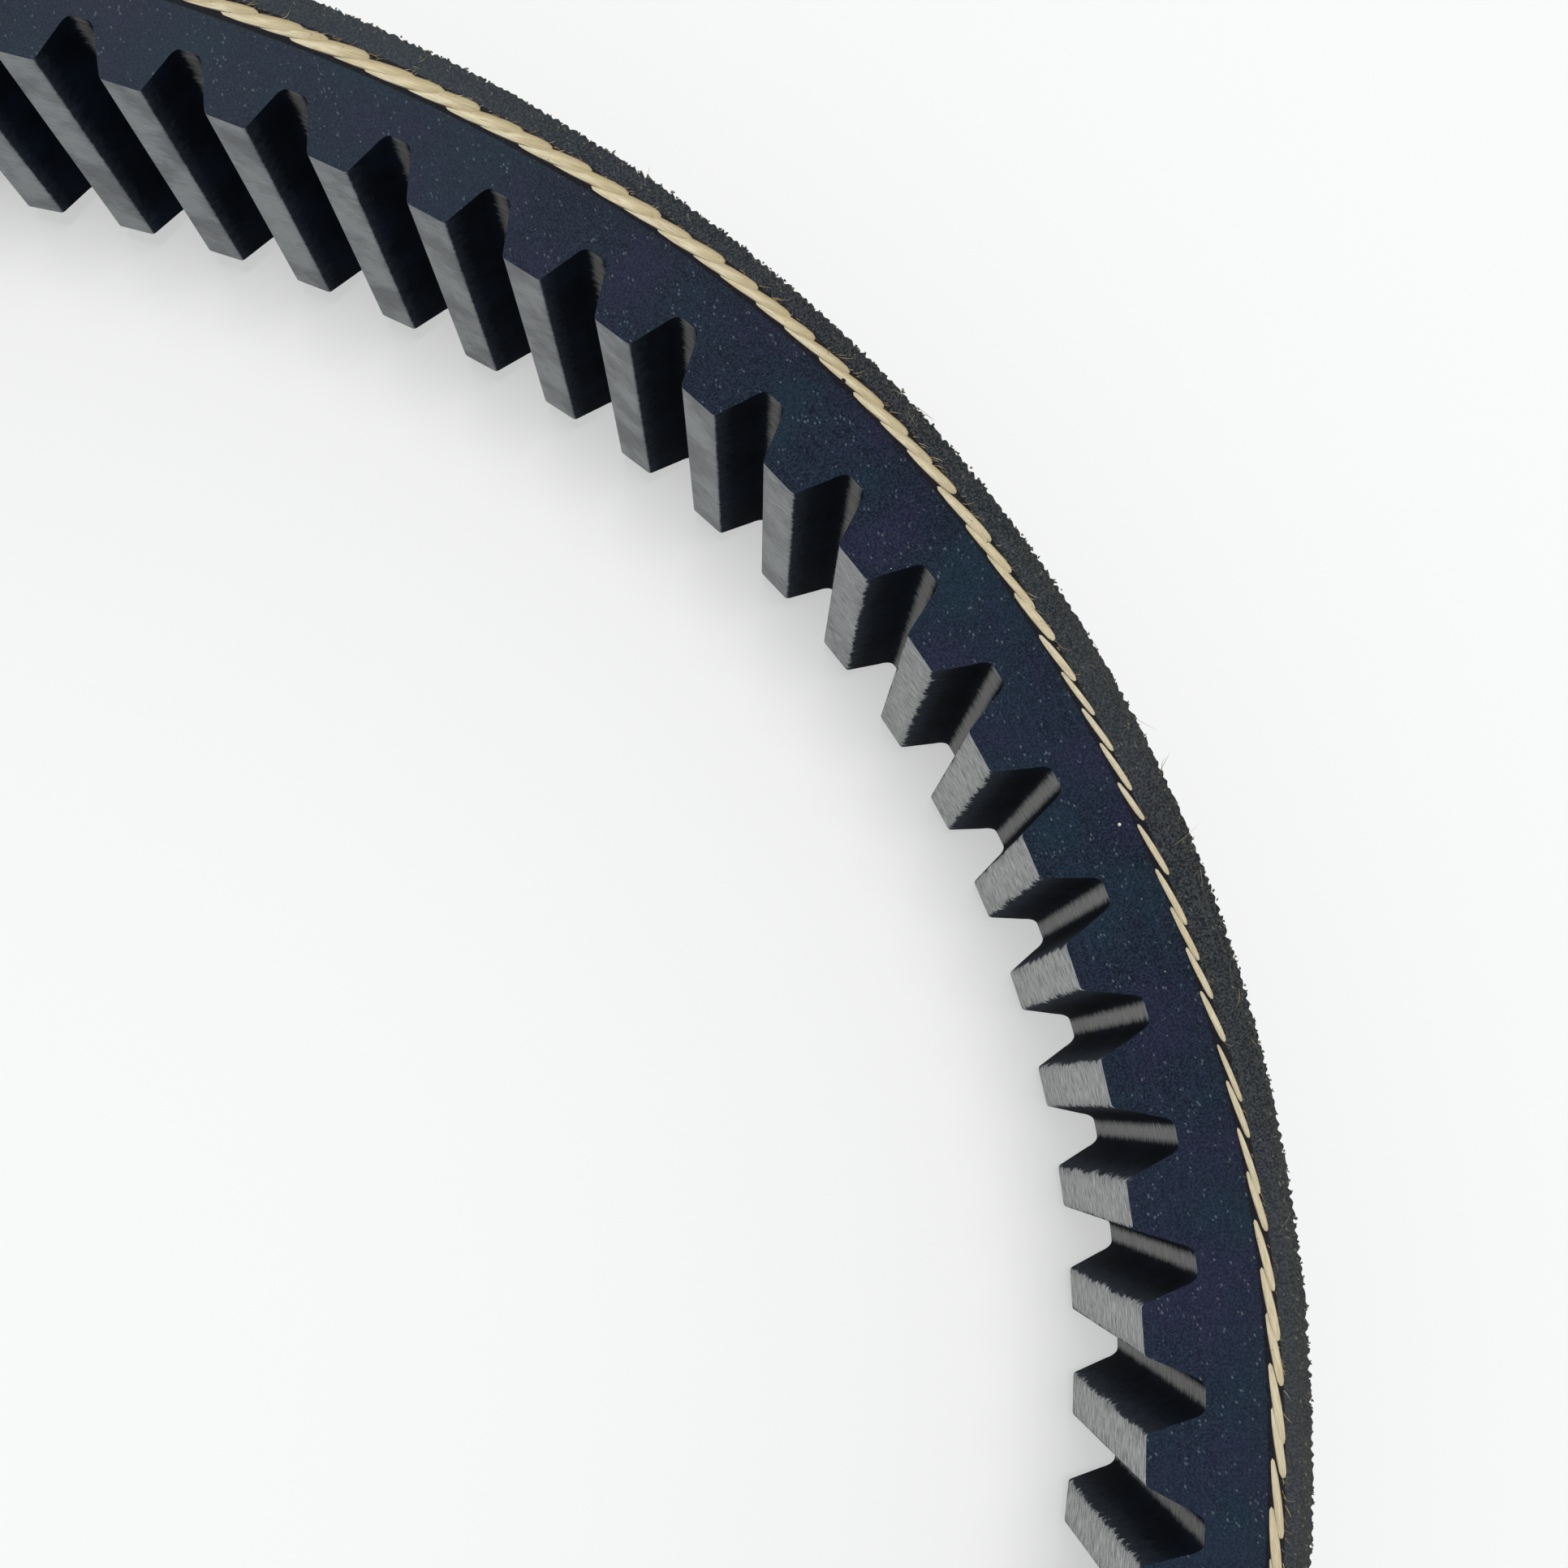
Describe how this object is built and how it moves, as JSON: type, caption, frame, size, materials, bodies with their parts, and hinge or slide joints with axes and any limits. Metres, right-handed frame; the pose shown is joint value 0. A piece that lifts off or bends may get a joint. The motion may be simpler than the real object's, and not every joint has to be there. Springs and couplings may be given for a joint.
{
  "type": "v belt",
  "caption": "Endless raw-edge cogged V belt of a wide variable-speed section, lying on its flank in its free oval.",
  "frame": {"origin": "centre of the loop's overall box: the centre of the oval, at mid width", "axes": "+Z is the loop's axis, across the belt's width; +X is the long axis of the free oval"},
  "size_m": [0.2588, 0.1986, 0.025],
  "materials": {
    "compression_rubber": "matte, ground flanks with short pale fibres, scuffed cog tips",
    "adhesion_rubber": "matte, cut edge",
    "cord": "cream twisted cord, cut open along the flank",
    "inner_fabric": "rubberised woven ply",
    "outer_fabric": "coarse rubberised weave with frayed cut edges"
  },
  "bodies": {
    "root": {"cogged_compression_rubber": "compression_rubber", "lower_adhesion_rubber": "adhesion_rubber", "tension_cord": "cord", "upper_adhesion_rubber": "adhesion_rubber", "inner_back_fabric_ply": "inner_fabric", "outer_back_fabric_ply": "outer_fabric"}
  },
  "joints": []
}
